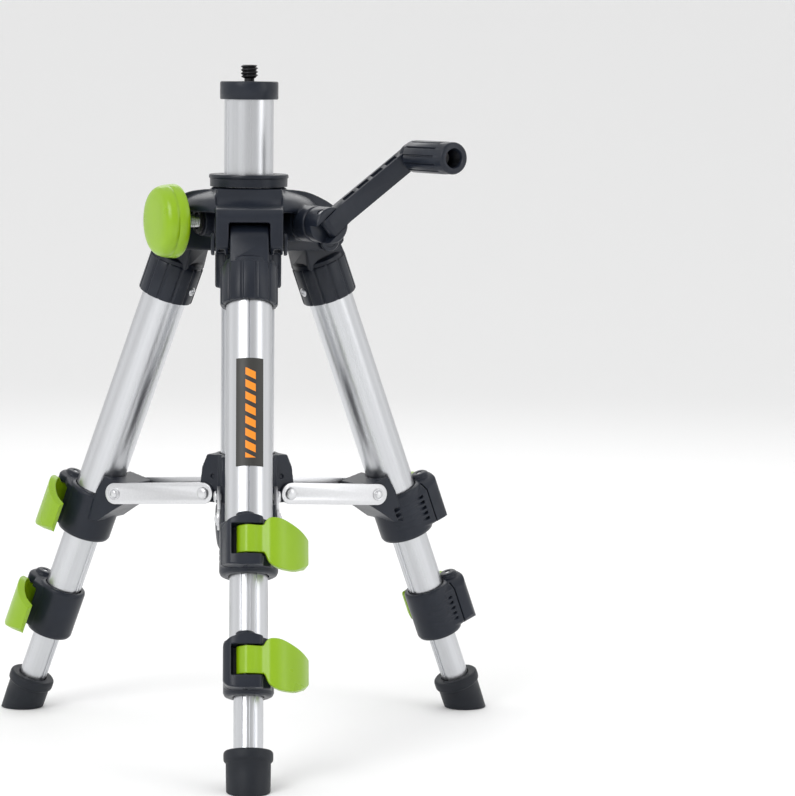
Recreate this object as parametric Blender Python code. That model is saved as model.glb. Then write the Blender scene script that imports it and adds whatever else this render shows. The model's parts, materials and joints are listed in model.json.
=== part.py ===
"""Small bench tripod with a cranked centre column, three two-stage legs and a sliding spreader.

Lengths here are in millimetres and become metres where each mesh is made. +Z is up and the floor is z = 0.
The front leg points along -Y. Each leg is drawn in its own frame: origin on its hinge, X along the hinge,
+Y towards the column and +Z up the leg.
"""

import math

import bmesh
import bpy
from mathutils import Matrix, Vector

MM = 0.001
COLUMN_Y = 24.5  # the column stands behind the middle of the footprint
HINGE_R = 27.2
HINGE_Z = 185.0
LEG_TILT = 21.5  # degrees from vertical, legs open
LEGS = {"front": 0.0, "right": 120.0, "left": -120.0}

COLUMN_R = 9.0
COLUMN_WALL = 1.0
COLUMN_LOW = 104.7
COLUMN_TOP = 236.7
CAP_R = 10.7
CAP_TOP = 243.5
STUD_R = 3.175  # 1/4 inch thread, outside radius
STUD_TOP = 249.6

COLLAR_R = 14.7
COLLAR_LOW = 204.9
COLLAR_TOP = 209.5
HEAD_LOW = 181.2
HEAD_TOP = 204.6
HEAD_R = 14.2
COLUMN_BORE_R = 9.5
CLEVIS_HALF = 12.2
SLOT_HALF = 7.4
SLOT_INNER_R = 18.9
SLOT_TOP = 193.1

GUIDE_R = 9.9
GUIDE_BORE_R = 9.35
GUIDE_TOP = 184.6
GUIDE_LOW = 73.0
GUIDE_SEAT_R = 10.25
SOCKET_R = 12.25
SOCKET_LOW = 167.4
STOP_R = 11.8
STOP_TOP = 86.9
STOP_LOW = 70.0

CRANK_TURN = 30.0  # degrees right of the front leg
CRANK_Z = 192.0
SHAFT_OFFSET = 12.0
SHAFT_R = 3.0
SHAFT_BORE_R = 3.4
BARREL_R = 6.7
BARREL_END = 29.6
CRANK_FACE = 39.6
PINION_TEETH = 8
PINION_R = 4.0
PINION_HALF = 2.2
TOOTH_HALF_HEIGHT = 0.75
TOOTH_WIDTH = 1.25
RACK_PITCH_R = SHAFT_OFFSET - PINION_R
ARM_RISE = 39.5  # degrees above horizontal
ARM_LENGTH = 39.3
ARM_HALF = 3.7
ARM_BLOCK = 2.4
ARM_CANT = 12.0
ARM_PIVOT = 37.5
GRIP_START = 47.5
GRIP_END = 72.5
GRIP_R = 5.9

LOCK_TURN = -66.0
LOCK_Z = 192.5
BOSS_R = 5.6
BOSS_END = 19.6
KNOB_R = 13.6
KNOB_INNER = 28.8
KNOB_OUTER = 38.4
BOLT_R = 2.5

SLEEVE_R = 10.4
SLEEVE_TOP = 7.0
SLEEVE_LOW = 23.4
UPPER_R = 8.4
MIDDLE_R = 6.8
LOWER_R = 5.2
TUBE_WALL = 0.9
UPPER_SPAN = (9.9, 113.0)
MIDDLE_SPAN = (34.0, 155.4)
LOWER_SPAN = (60.0, 190.0)
UPPER_CLAMP = (102.6, 123.0)
LOWER_CLAMP = (144.6, 166.0)
FOOT_TOP = 184.7
FOOT_RIM_R = 8.85
FOOT_R = 7.95

LEVER_SIDE = -1.2
LEVER_OUT = 3.65  # from the tube's surface to the lever's pin
LEVER_HEAD_R = 3.2
LUG_IN = 13.2
LUG_DOWN = 99.0
LUG_HALF = 9.6

HUB_LOW = 87.2
HUB_TOP = 105.8
HUB_R = 11.9
HUB_BORE_R = 10.3
HUB_PIVOT = (12.6, 90.9)
BAR_INNER = 9.9
BAR_THICK = 1.2
BAR_HALF = 4.0
RIVET_R = 1.2

# How a drawing plane lies in a leg's upright plane: x outwards, y up, thickness across.
UPRIGHT = Matrix(((0, 0, -1, 0), (-1, 0, 0, 0), (0, 1, 0, 0), (0, 0, 0, 1)))


def clear_scene():
    for old in list(bpy.data.objects):
        bpy.data.objects.remove(old)


def make_material(name, colour, roughness, metallic):
    made = bpy.data.materials.new(name)
    made.use_nodes = True
    shader = made.node_tree.nodes["Principled BSDF"]
    shader.inputs["Base Color"].default_value = (*colour, 1.0)
    shader.inputs["Roughness"].default_value = roughness
    shader.inputs["Metallic"].default_value = metallic
    return made


def new_object(name, mesh):
    bmesh.ops.recalc_face_normals(mesh, faces=mesh.faces)
    data = bpy.data.meshes.new(name)
    mesh.to_mesh(data)
    mesh.free()
    made = bpy.data.objects.new(name, data)
    bpy.context.scene.collection.objects.link(made)
    return made


def turned(name, profile, sides=24):
    """A solid of revolution about Z from a closed outline of (radius, height) points."""
    mesh = bmesh.new()
    rings = []
    for radius, height in profile:
        count = sides if radius > 0 else 1
        ring = []
        for step in range(count):
            angle = 2 * math.pi * step / sides
            point = (radius * math.cos(angle) * MM, radius * math.sin(angle) * MM, height * MM)
            ring.append(mesh.verts.new(point))
        rings.append(ring)
    for ring, following in zip(rings, rings[1:] + rings[:1]):
        for step in range(sides):
            after = (step + 1) % sides
            corners = [ring[step % len(ring)], ring[after % len(ring)]]
            corners += [following[after % len(following)], following[step % len(following)]]
            corners = list(dict.fromkeys(corners))
            if len(corners) > 2:
                mesh.faces.new(corners)
    return new_object(name, mesh)


def rod(name, radius, low, high, sides=16):
    return turned(name, [(0, low), (radius, low), (radius, high), (0, high)], sides)


def tube(name, outer, inner, low, high, sides=24):
    return turned(name, [(inner, low), (outer, low), (outer, high), (inner, high)], sides)


def prism(name, outline, low, high):
    """A flat outline in XY, extruded along Z."""
    mesh = bmesh.new()
    bottom = [mesh.verts.new((x * MM, y * MM, low * MM)) for x, y in outline]
    face = mesh.faces.new(bottom)
    made = bmesh.ops.extrude_face_region(mesh, geom=[face])
    raised = [item for item in made["geom"] if isinstance(item, bmesh.types.BMVert)]
    bmesh.ops.translate(mesh, verts=raised, vec=(0, 0, (high - low) * MM))
    return new_object(name, mesh)


def block(name, x_span, y_span, z_span):
    outline = [(x_span[0], y_span[0]), (x_span[1], y_span[0]), (x_span[1], y_span[1]), (x_span[0], y_span[1])]
    return prism(name, outline, *z_span)


def arc(centre, radius, start, end, steps):
    """Points on a circle, from one angle to another in degrees."""
    points = []
    for step in range(steps + 1):
        angle = math.radians(start + (end - start) * step / steps)
        points.append((centre[0] + radius * math.cos(angle), centre[1] + radius * math.sin(angle)))
    return points


def reshape(made, matrix):
    """Moves the mesh itself, and its helpers' too, so that the object's origin stays where it is."""
    for piece in (made, *made.children_recursive):
        piece.data.transform(matrix)
    return made


def shift(x, y, z):
    return Matrix.Translation(Vector((x, y, z)) * MM)


def spin(degrees, axis):
    return Matrix.Rotation(math.radians(degrees), 4, axis)


def combine(made, tool, operation):
    """Joins, cuts or keeps what is common, with a helper drawn in the same frame."""
    tool.parent = made
    tool.hide_render = True
    tool.display_type = "WIRE"
    step = made.modifiers.new(operation.lower(), "BOOLEAN")
    step.object = tool
    step.operation = operation
    step.solver = "EXACT"


def join(made, *tools):
    for tool in tools:
        combine(made, tool, "UNION")


def cut(made, *tools):
    for tool in tools:
        combine(made, tool, "DIFFERENCE")


def finish(made, parent, material, place=(0, 0, 0), smooth=True):
    made.parent = parent
    made.location = Vector(place) * MM
    made.data.materials.append(material)
    if smooth:
        made.data.shade_smooth()
        made.data.set_sharp_from_angle(angle=math.radians(35))
    return made


def new_frame(name, parent, matrix):
    made = bpy.data.objects.new(name, None)
    made.empty_display_size = 8 * MM
    made.parent = parent
    made.matrix_local = matrix
    bpy.context.scene.collection.objects.link(made)
    return made


def fluted(name, outer, inner, depth, lobes, low, high):
    """A ring whose outside has narrow grooves between broad ribs."""
    pattern = ((0.0, 1), (0.14, 0), (0.5, 0), (0.86, 0))
    outline = []
    for lobe in range(lobes):
        for place, grooved in pattern:
            angle = 2 * math.pi * (lobe + place) / lobes
            radius = outer - depth * grooved
            outline.append((radius * math.cos(angle), radius * math.sin(angle)))
    made = prism(name, outline, low, high)
    cut(made, rod("bore", inner, low - 1, high + 1, 24))
    return made


def radial(turn):
    """From a drawing of (outwards, up) to the upright plane at an angle round the column."""
    return spin(turn, "Z") @ UPRIGHT


def across(turn, out, height):
    """Lays a Z-axis helper along a leg's hinge direction."""
    return spin(turn, "Z") @ shift(0, -out, height) @ spin(90, "Y")


def pointing(turn, offset, height):
    """Lays a Z-axis helper level, pointing out at an angle, and set off sideways."""
    return spin(turn, "Z") @ shift(offset, 0, height) @ spin(90, "X")


# Head, guide and column


def head_body(parent, material):
    low = HEAD_LOW + 0.2
    hub = turned("head_body", [(0, HEAD_LOW), (HEAD_R, HEAD_LOW), (HEAD_R, 203.6), (13.4, HEAD_TOP), (0, HEAD_TOP)], 32)
    roof = [(0, 196.4), (24.4, 196.0), (25.2, 196.9), (24, 199.2), (20, 201.9), (16, 203.4), (0, 203.9)]
    join(hub, turned("roof", roof, 32))
    front = [(4, low), (31.5, low), (34.2, 184.2), (34.2, 195.4), (32.8, 197.6), (22, 198.4)]
    front += [(17.5, 199.7), (15.0, 201.8), (13.6, 204.2), (4, 204.2)]
    rear = [(4, low), (31.5, low), (34.2, 184.6), (34.2, 190.5), (32.2, 195.4), (28.6, 198.5)]
    rear += [(23.6, 201.0), (18, 203.0), (12, 204.0), (4, 204.0)]
    for leg, turn in LEGS.items():
        arm = prism("clevis", front if leg == "front" else rear, -CLEVIS_HALF, CLEVIS_HALF)
        join(hub, reshape(arm, radial(turn)))
    barrel = rod("barrel", BARREL_R, 2, BARREL_END, 24)
    boss = rod("boss", BOSS_R, 8, BOSS_END, 24)
    join(hub, reshape(barrel, pointing(CRANK_TURN, SHAFT_OFFSET, CRANK_Z)))
    join(hub, reshape(boss, pointing(LOCK_TURN, 0, LOCK_Z)))
    cut(hub, rod("column_bore", COLUMN_BORE_R, HEAD_LOW - 1, HEAD_TOP + 1, 32))
    cut(hub, rod("guide_seat", GUIDE_SEAT_R, HEAD_LOW - 2, GUIDE_TOP + 0.3, 32))
    for turn in LEGS.values():
        slot = block("slot", (SLOT_INNER_R, 45), (HEAD_LOW - 6, SLOT_TOP), (-SLOT_HALF, SLOT_HALF))
        pin = rod("pin_bore", 2.1, -20, 20, 12)
        cut(hub, reshape(slot, radial(turn)), reshape(pin, across(turn, HINGE_R, HINGE_Z)))
    place = pointing(CRANK_TURN, SHAFT_OFFSET, CRANK_Z)
    cut(hub, reshape(rod("shaft_bore", SHAFT_BORE_R, -8.4, 35, 20), place))
    cut(hub, reshape(rod("pinion_pocket", PINION_R + 1.2, -PINION_HALF - 0.4, PINION_HALF + 0.4, 24), place))
    cut(hub, reshape(rod("lock_bore", 3.0, 5, 25, 16), pointing(LOCK_TURN, 0, LOCK_Z)))
    return finish(hub, parent, material)


def column_collar(parent, material):
    step = COLLAR_TOP - 1.6
    profile = [(COLUMN_BORE_R, COLLAR_LOW), (COLLAR_R - 0.5, COLLAR_LOW), (COLLAR_R - 0.5, step - 0.4)]
    profile += [(COLLAR_R, step), (COLLAR_R, COLLAR_TOP - 0.5), (COLLAR_R - 0.5, COLLAR_TOP)]
    profile += [(COLUMN_BORE_R + 0.6, COLLAR_TOP), (COLUMN_BORE_R, COLLAR_TOP - 0.6)]
    return finish(turned("column_collar", profile, 32), parent, material)


def guide_parts(parent, plastic, metal):
    finish(tube("guide_tube", GUIDE_R, GUIDE_BORE_R, GUIDE_LOW, GUIDE_TOP, 32), parent, metal)
    socket = fluted("guide_socket", SOCKET_R, GUIDE_SEAT_R, 0.5, 10, SOCKET_LOW, HEAD_LOW - 0.3)
    finish(socket, parent, plastic, smooth=False)
    floor = GUIDE_LOW - 0.4
    profile = [(0, STOP_LOW), (STOP_R - 1.5, STOP_LOW), (STOP_R, STOP_LOW + 1.5), (STOP_R, STOP_TOP - 1.2)]
    profile += [(STOP_R - 0.8, STOP_TOP), (GUIDE_SEAT_R, STOP_TOP), (GUIDE_SEAT_R, floor), (0, floor)]
    finish(turned("end_stop", profile, 32), parent, plastic)


def column_tube(parent, material):
    """The lifting tube, slit along the side that faces the pinion."""
    open_angle = math.degrees(math.asin(2.6 / COLUMN_R))
    middle = CRANK_TURN
    outline = arc((0, 0), COLUMN_R, middle + open_angle, middle + 360 - open_angle, 30)
    outline += arc((0, 0), COLUMN_R - COLUMN_WALL, middle + 360 - open_angle - 2, middle + open_angle + 2, 30)
    return finish(prism("column_tube", outline, COLUMN_LOW, COLUMN_TOP), parent, material)


def column_rack(parent, material):
    """A toothed strip inside the slit. One gap between teeth faces the pinion's tooth at rest."""
    pitch = 2 * math.pi * PINION_R / PINION_TEETH
    low, high = COLUMN_LOW + 7.5, COLUMN_TOP - 8.5
    root = RACK_PITCH_R - TOOTH_HALF_HEIGHT - 0.2
    tip = RACK_PITCH_R + TOOTH_HALF_HEIGHT
    outline = [(4.4, low), (root, low)]
    first = math.ceil((low + 1.2 - CRANK_Z) / pitch - 0.5)
    last = math.floor((high - 1.2 - CRANK_Z) / pitch - 0.5)
    for tooth in range(first, last + 1):
        middle = CRANK_Z + (tooth + 0.5) * pitch
        wide, narrow = TOOTH_WIDTH / 2 + 0.2, TOOTH_WIDTH / 2 - 0.25
        outline += [(root, middle - wide), (tip, middle - narrow), (tip, middle + narrow), (root, middle + wide)]
    outline += [(root, high), (4.4, high)]
    strip = prism("column_rack", outline, -2.1, 2.1)
    return finish(reshape(strip, radial(CRANK_TURN + 90)), parent, material, smooth=False)


def column_ends(parent, plastic, metal):
    under = COLUMN_TOP + 0.3
    profile = [(3.55, CAP_TOP), (3.55, under + 2.6), (6.2, under + 2.6), (6.2, 229), (7.6, 229), (7.6, under)]
    profile += [(CAP_R, under), (CAP_R, CAP_TOP - 0.6), (CAP_R - 0.6, CAP_TOP)]
    finish(turned("column_cap", profile[::-1], 32), parent, plastic)
    neck = STUD_R - 1.2
    stud = [(0, under - 1), (5.8, under - 1), (5.8, under + 2.2), (STUD_R, under + 2.2), (STUD_R, CAP_TOP - 0.3)]
    stud += [(neck, CAP_TOP), (neck, CAP_TOP + 1.2), (STUD_R, CAP_TOP + 1.5), (STUD_R, STUD_TOP - 0.7)]
    stud += [(STUD_R - 0.7, STUD_TOP), (0, STUD_TOP)]
    finish(turned("mount_screw", stud, 20), parent, metal)
    low = COLUMN_LOW - 1.7
    plug = [(0, low), (8.3, low), (8.8, low + 0.5), (8.8, COLUMN_LOW - 0.3), (7.3, COLUMN_LOW - 0.3)]
    plug += [(7.3, COLUMN_LOW + 6.5), (0, COLUMN_LOW + 6.5)]
    finish(turned("column_plug", plug, 24), parent, plastic)


# Crank and lock, drawn with the shaft or bolt along +Z of their own frames


def crank_shaft(parent, material):
    pitch_angle = 360 / PINION_TEETH
    outline = []
    root, tip = PINION_R - TOOTH_HALF_HEIGHT - 0.2, PINION_R + TOOTH_HALF_HEIGHT
    root_half = math.degrees((TOOTH_WIDTH / 2 + 0.1) / root)
    tip_half = math.degrees((TOOTH_WIDTH / 2 - 0.3) / tip)
    for tooth in range(PINION_TEETH):
        middle = 180 + tooth * pitch_angle
        outline += arc((0, 0), root, middle - root_half, middle - root_half, 1)[:1]
        outline += arc((0, 0), tip, middle - tip_half, middle + tip_half, 1)
        outline += arc((0, 0), root, middle + root_half, middle + root_half, 1)[:1]
    pinion = prism("crank_shaft", outline, -PINION_HALF, PINION_HALF)
    fork = BARREL_END + 0.4
    shaft = [(0, -8), (SHAFT_R, -8), (SHAFT_R, fork), (BARREL_R - 0.6, fork), (BARREL_R - 0.1, fork + 0.5)]
    shaft += [(BARREL_R - 0.1, CRANK_FACE - 0.4), (BARREL_R - 0.5, CRANK_FACE), (0, CRANK_FACE)]
    join(pinion, turned("shaft_and_fork", shaft, 24))
    floor = ARM_PIVOT - ARM_BLOCK - 0.3
    slot = block("arm_slot", (-12, 12), (-ARM_HALF - 0.3, ARM_HALF + 0.3), (floor, CRANK_FACE + 3))
    pin = reshape(rod("pin_bore", 1.55, -9, 9, 12), shift(0, 0, ARM_PIVOT) @ spin(90, "X"))
    cut(pinion, reshape(slot, spin(ARM_RISE, "Z")), reshape(pin, spin(ARM_RISE, "Z")))
    return finish(pinion, parent, material)


def crank_arm(parent, material):
    """Drawn from its fold pin: X along the arm, Z out along the shaft. The arm leans out past its block."""
    slope = math.tan(math.radians(ARM_CANT))
    tip = GRIP_START - ARM_PIVOT - 0.7
    outline = arc((0, 0), ARM_BLOCK, 90, 270, 8)
    outline += [(7.4, -ARM_BLOCK), (ARM_LENGTH - 1.3, (ARM_LENGTH - 8.7) * slope - ARM_BLOCK)]
    outline += [(ARM_LENGTH + 3.2, tip - 4.6), (ARM_LENGTH + 4.4, tip - 3.2), (ARM_LENGTH + 4.4, tip - 0.5)]
    outline += [(ARM_LENGTH + 4.0, tip), (6.6 + (tip - ARM_BLOCK) / slope, tip), (6.6, ARM_BLOCK)]
    arm = reshape(prism("crank_arm", outline, -ARM_HALF, ARM_HALF), spin(90, "X"))
    post = tip + 0.4
    spindle = [(0, tip - 3), (4.4, tip - 3), (4.4, post), (2.3, post), (2.3, post + 15.2), (0, post + 15.2)]
    join(arm, reshape(turned("spindle", spindle, 20), shift(ARM_LENGTH, 0, 0)))
    cut(arm, reshape(rod("pin_bore", 1.55, -9, 9, 12), spin(90, "X")))
    return finish(arm, parent, material)


def crank_fittings(shaft_frame, arm_frame, plastic, metal):
    pin = rod("crank_arm_pin", 1.2, -5.9, 5.9, 12)
    turn = spin(ARM_RISE, "Z") @ shift(0, 0, ARM_PIVOT) @ spin(90, "X")
    finish(reshape(pin, turn), shaft_frame, metal)
    low, high = GRIP_START - ARM_PIVOT, GRIP_END - ARM_PIVOT
    cap = rod("grip_retainer", 3.4, low + 15.2, low + 17.0, 16)
    finish(reshape(cap, shift(ARM_LENGTH, 0, 0)), arm_frame, metal)
    grip = fluted("crank_grip", GRIP_R, 2.7, 0.35, 10, low, high)
    cut(grip, rod("mouth", 4.2, low + 14.6, high + 1, 20))
    return finish(grip, arm_frame, plastic, (ARM_LENGTH, 0, 0), smooth=False)


def lock_parts(frame, parent, green, metal, plastic):
    profile = [(2.8, KNOB_INNER), (KNOB_R - 1.6, KNOB_INNER), (KNOB_R, KNOB_INNER + 1.6)]
    profile += [(KNOB_R, KNOB_OUTER - 3.6), (KNOB_R - 1.1, KNOB_OUTER - 1.3), (KNOB_R - 3.4, KNOB_OUTER)]
    profile += [(0, KNOB_OUTER), (0, KNOB_OUTER - 3.4), (2.8, KNOB_OUTER - 3.4)]
    finish(turned("lock_knob", profile, 32), frame, green)
    finish(rod("lock_bolt", BOLT_R, 11.9, KNOB_OUTER - 3.7, 16), frame, metal)
    pad = rod("lock_pad", BOLT_R, 9.35, 11.6, 16)
    finish(reshape(pad, pointing(LOCK_TURN, 0, LOCK_Z)), parent, plastic)


# Legs


def leg_knuckle(name, frame, material):
    """The hinge tongue and the fluted sleeve under it."""
    sleeve = fluted(name, SLEEVE_R, UPPER_R + 0.3, 0.5, 10, -SLEEVE_LOW, -SLEEVE_TOP - 2.2)
    join(sleeve, tube("crown", SLEEVE_R - 0.5, UPPER_R - 1.4, -SLEEVE_TOP - 2.6, -SLEEVE_TOP, 24))
    outline = arc((0, 0), 7.3, -10, 190, 12) + [(-8.4, -SLEEVE_TOP - 1.8), (8.4, -SLEEVE_TOP - 1.8)]
    tongue = prism("tongue", outline, -SLOT_HALF + 0.4, SLOT_HALF - 0.4)
    join(sleeve, reshape(tongue, UPRIGHT))
    cut(sleeve, reshape(rod("pin_bore", 2.1, -12, 12, 12), spin(90, "Y")))
    return finish(sleeve, frame, material, smooth=False)


def hinge_pin(name, frame, material):
    inner, outer = CLEVIS_HALF + 0.3, CLEVIS_HALF + 1.6
    profile = [(0, -outer), (3.6, -outer), (4.1, -outer + 0.5), (4.1, -inner), (1.7, -inner), (1.7, inner)]
    profile += [(4.1, inner), (4.1, outer - 0.5), (3.6, outer), (0, outer)]
    return finish(reshape(turned(name, profile, 16), spin(90, "Y")), frame, material)


def leg_tube(name, frame, radius, span, material):
    return finish(tube(name, radius, radius - TUBE_WALL, -span[1], -span[0]), frame, material)


def clamp_outline(ring_r, pin_out):
    """The housing round the lever's pin, seen along the leg, with the outside of the leg at -Y."""
    out = -pin_out - 3.9
    points = [(-ring_r + 0.2, -2), (-ring_r + 0.3, -6.0), (-9.0, -10.5), (-7.8, out + 1.7), (-5.6, out + 0.4), (-2, out)]
    return points + [(2, out), (4.2, out + 0.5), (4.9, out + 1.6), (5.0, -pin_out + 0.5), (7.6, -9.0), (ring_r - 0.6, -2)]


def leg_clamp(name, frame, span, ring_r, outer_tube, inner_tube, lug, material):
    top, low = -span[0], -span[1]
    step = -outer_tube[1] - 0.3
    bore, under = outer_tube[0] + 0.3, inner_tube + 0.35
    profile = [(0, low), (ring_r - 1.3, low), (ring_r, low + 1.3), (ring_r, top - 2.6), (ring_r - 0.9, top - 1.6)]
    made = turned(name, profile + [(0, top - 1.6)], 24)
    pin_out = outer_tube[0] + LEVER_OUT
    middle = (top + low) / 2 + 0.3
    housing = prism("housing", clamp_outline(ring_r, pin_out), low + 0.9, top - 1.2)
    boss = reshape(rod("boss", 3.4, low + 3, top, 16), shift(LEVER_SIDE, -pin_out + 0.1, 0))
    join(made, housing, boss)
    window_in = -(pin_out - LEVER_HEAD_R - 0.35)
    cut(made, block("window", (-6.2, 16), (-30, window_in), (middle - 5.4, middle + 5.4)))
    if lug:
        outline = [(-5.5, low + 9), (-9.4, low + 10.5), (-LUG_IN - 0.4, -LUG_DOWN - 7.5), (-LUG_IN - 4.4, -LUG_DOWN - 2.4)]
        outline += [(-LUG_IN - 4.7, -LUG_DOWN + 2.3), (-LUG_IN - 2.7, -LUG_DOWN + 7.1), (-5.9, -LUG_DOWN + 4.8)]
        outline += [(-4.6, -LUG_DOWN - 3)]
        join(made, reshape(prism("lug", outline, -LUG_HALF, LUG_HALF), UPRIGHT))
        pin = reshape(rod("rivet_bore", 1.55, -14, 14, 12), shift(0, LUG_IN, -LUG_DOWN) @ spin(90, "Y"))
        cut(made, pin)
    cut(made, rod("upper_bore", bore, step, top + 14, 24), rod("lower_bore", under, low - 2, step + 1, 24))
    return finish(made, frame, material)


def lever_profile(pin_out):
    """A thin plate seen along its pin: a round head, a flat arm and a paddle that wraps the tube."""
    crest = pin_out + 3.4
    outside = [(-2.7, crest - 0.4), (-0.8, crest + 0.4), (1.4, crest + 0.2), (4.2, crest - 0.6), (7.6, crest + 0.3)]
    outside += [(11, crest - 0.5), (14.2, crest - 2.4), (17.4, crest - 5.4), (19.9, crest - 9.2), (21.3, crest - 13.6)]
    inside = [(19.2, crest - 14.0), (17.8, crest - 10.3), (15.6, crest - 7.1), (12.9, crest - 4.7), (9.9, crest - 3.0)]
    inside += [(6.9, crest - 2.2), (4.6, crest - 2.7)]
    edge = [(x - LEVER_SIDE, pin_out - out) for x, out in outside + inside]
    return arc((0, 0), LEVER_HEAD_R, 25, 225, 9) + edge


def lever_face():
    """The lever seen from outside the leg: a narrow arm that widens into a leaf."""
    paddle = [(7.4, 7.7), (8.8, 8.5), (11.5, 8.3), (14.5, 7.4), (18.5, 5.4), (22.6, 2.9), (24, 1.0), (24, -1.8), (22.9, -4.9), (20.6, -7.5)]
    paddle += [(17.5, -9.3), (13.6, -9.7), (10.4, -9.1), (7.8, -7.1)]
    arm_top, arm_low = 5.9, -3.9
    return [(-4, arm_low), (-4, arm_top), (6.2, arm_top)] + paddle + [(6.6, arm_low)]


def clamp_lever(name, frame, span, pin_out, material):
    """Made about its pin, which runs along the leg."""
    lever = prism(name, lever_profile(pin_out), -12, 12)
    mask = reshape(prism("leaf", lever_face(), -20, 20), spin(90, "X"))
    combine(lever, mask, "INTERSECT")
    cut(lever, rod("pin_bore", 1.1, -14, 14, 10))
    height = -(span[0] + span[1]) / 2 - 0.7
    return finish(lever, frame, material, (LEVER_SIDE, -pin_out, height))


def leg_foot(name, frame, material):
    """A rubber boot, cut off level with the floor."""
    under = 210
    profile = [(FOOT_R, -under), (FOOT_R, -FOOT_TOP - 4.2), (FOOT_RIM_R, -FOOT_TOP - 3.6)]
    profile += [(FOOT_RIM_R, -FOOT_TOP - 0.7), (FOOT_RIM_R - 0.7, -FOOT_TOP), (LOWER_R + 0.3, -FOOT_TOP)]
    profile += [(LOWER_R + 0.3, -LOWER_SPAN[1] - 0.4), (0, -LOWER_SPAN[1] - 0.4), (0, -under)]
    foot = turned(name, profile, 24)
    floor = block("floor", (-30, 30), (-30, 30), (-40, 0))
    depth = HINGE_Z / math.cos(math.radians(LEG_TILT))
    cut(foot, reshape(floor, shift(0, 0, -depth) @ spin(LEG_TILT, "X")))
    return finish(foot, frame, material)


def build_leg(name, frame, kit):
    leg_knuckle(f"{name}_knuckle", frame, kit["plastic"])
    hinge_pin(f"{name}_hinge_pin", frame, kit["plastic"])
    leg_tube(f"{name}_upper_tube", frame, UPPER_R, UPPER_SPAN, kit["aluminium"])
    leg_tube(f"{name}_middle_tube", frame, MIDDLE_R, MIDDLE_SPAN, kit["aluminium"])
    leg_tube(f"{name}_lower_tube", frame, LOWER_R, LOWER_SPAN, kit["aluminium"])
    upper, middle = (UPPER_R, UPPER_SPAN[1]), (MIDDLE_R, MIDDLE_SPAN[1])
    leg_clamp(f"{name}_upper_clamp", frame, UPPER_CLAMP, UPPER_R + 2.0, upper, MIDDLE_R, True, kit["plastic"])
    leg_clamp(f"{name}_lower_clamp", frame, LOWER_CLAMP, MIDDLE_R + 2.1, middle, LOWER_R, False, kit["plastic"])
    clamp_lever(f"{name}_upper_lever", frame, UPPER_CLAMP, UPPER_R + LEVER_OUT, kit["green"])
    clamp_lever(f"{name}_lower_lever", frame, LOWER_CLAMP, MIDDLE_R + LEVER_OUT, kit["green"])
    leg_foot(f"{name}_foot", frame, kit["rubber"])


# Spreader


def spreader_hub(parent, material):
    profile = [(HUB_BORE_R, HUB_LOW), (HUB_R, HUB_LOW), (HUB_R, HUB_TOP - 0.6), (HUB_R - 0.6, HUB_TOP), (HUB_BORE_R, HUB_TOP)]
    hub = turned("spreader_hub", profile, 32)
    low, high = HUB_LOW + 0.4, HUB_TOP - 0.3
    ear_outline = [(4, low), (13.6, low), (15.0, low + 1.6), (15.2, low + 5), (14.4, 96), (13.9, 100.5)]
    ear_outline += [(11.6, high), (4, high)]
    for turn in LEGS.values():
        join(hub, reshape(prism("ear", ear_outline, -LUG_HALF, LUG_HALF), radial(turn)))
    cut(hub, rod("guide_bore", HUB_BORE_R, HUB_LOW - 2, HUB_TOP + 2, 32))
    for turn in LEGS.values():
        cut(hub, reshape(rod("rivet_bore", 1.55, -14, 14, 12), across(turn, *HUB_PIVOT)))
    return finish(hub, parent, material)


def hub_rivet(name, parent, turn, material):
    inner, outer = BAR_INNER + BAR_THICK + 0.3, BAR_INNER + BAR_THICK + 1.3
    profile = [(0, -outer), (1.5, -outer), (2.2, -inner - 0.3), (2.2, -inner), (RIVET_R, -inner), (RIVET_R, inner)]
    profile += [(2.2, inner), (2.2, inner + 0.3), (1.5, outer), (0, outer)]
    return finish(reshape(turned(name, profile, 12), across(turn, *HUB_PIVOT)), parent, material)


def lug_place():
    """Where a leg's lug meets its bars, as (outwards, up)."""
    tilt = math.radians(LEG_TILT)
    out = HINGE_R + LUG_DOWN * math.sin(tilt) - LUG_IN * math.cos(tilt)
    return out, HINGE_Z - LUG_DOWN * math.cos(tilt) - LUG_IN * math.sin(tilt)


def spreader_bar(name, frame, side, material):
    """A flat bar from the hub's rivet to the leg's lug, with its rivet head at the lug."""
    out, up = lug_place()
    reach = math.hypot(out - HUB_PIVOT[0], up - HUB_PIVOT[1])
    outline = arc((0, 0), BAR_HALF, 90, 270, 8) + arc((reach, 0), BAR_HALF, -90, 90, 8)
    faces = sorted((side * BAR_INNER, side * (BAR_INNER + BAR_THICK)))
    bar = prism(name, outline, *faces)
    head = sorted((side * (BAR_INNER + 0.5), side * (BAR_INNER + BAR_THICK + 0.8)))
    join(bar, reshape(rod("rivet_head", 1.5, *head, 12), shift(reach, 0, 0)))
    cut(bar, rod("rivet_bore", 1.55, -20, 20, 12))
    slope = math.degrees(math.atan2(up - HUB_PIVOT[1], out - HUB_PIVOT[0]))
    return finish(reshape(bar, UPRIGHT @ spin(slope, "Z")), frame, material)


def build_spreader(parent, kit):
    spreader_hub(parent, kit["plastic"])
    for leg, turn in LEGS.items():
        hub_rivet(f"{leg}_hub_rivet", parent, turn, kit["steel"])
        place = spin(turn, "Z") @ shift(0, -HUB_PIVOT[0], HUB_PIVOT[1])
        frame = new_frame(f"{leg}_bar_axis", parent, place)
        spreader_bar(f"{leg}_bar_a", frame, 1, kit["steel"])
        spreader_bar(f"{leg}_bar_b", frame, -1, kit["steel"])


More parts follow.
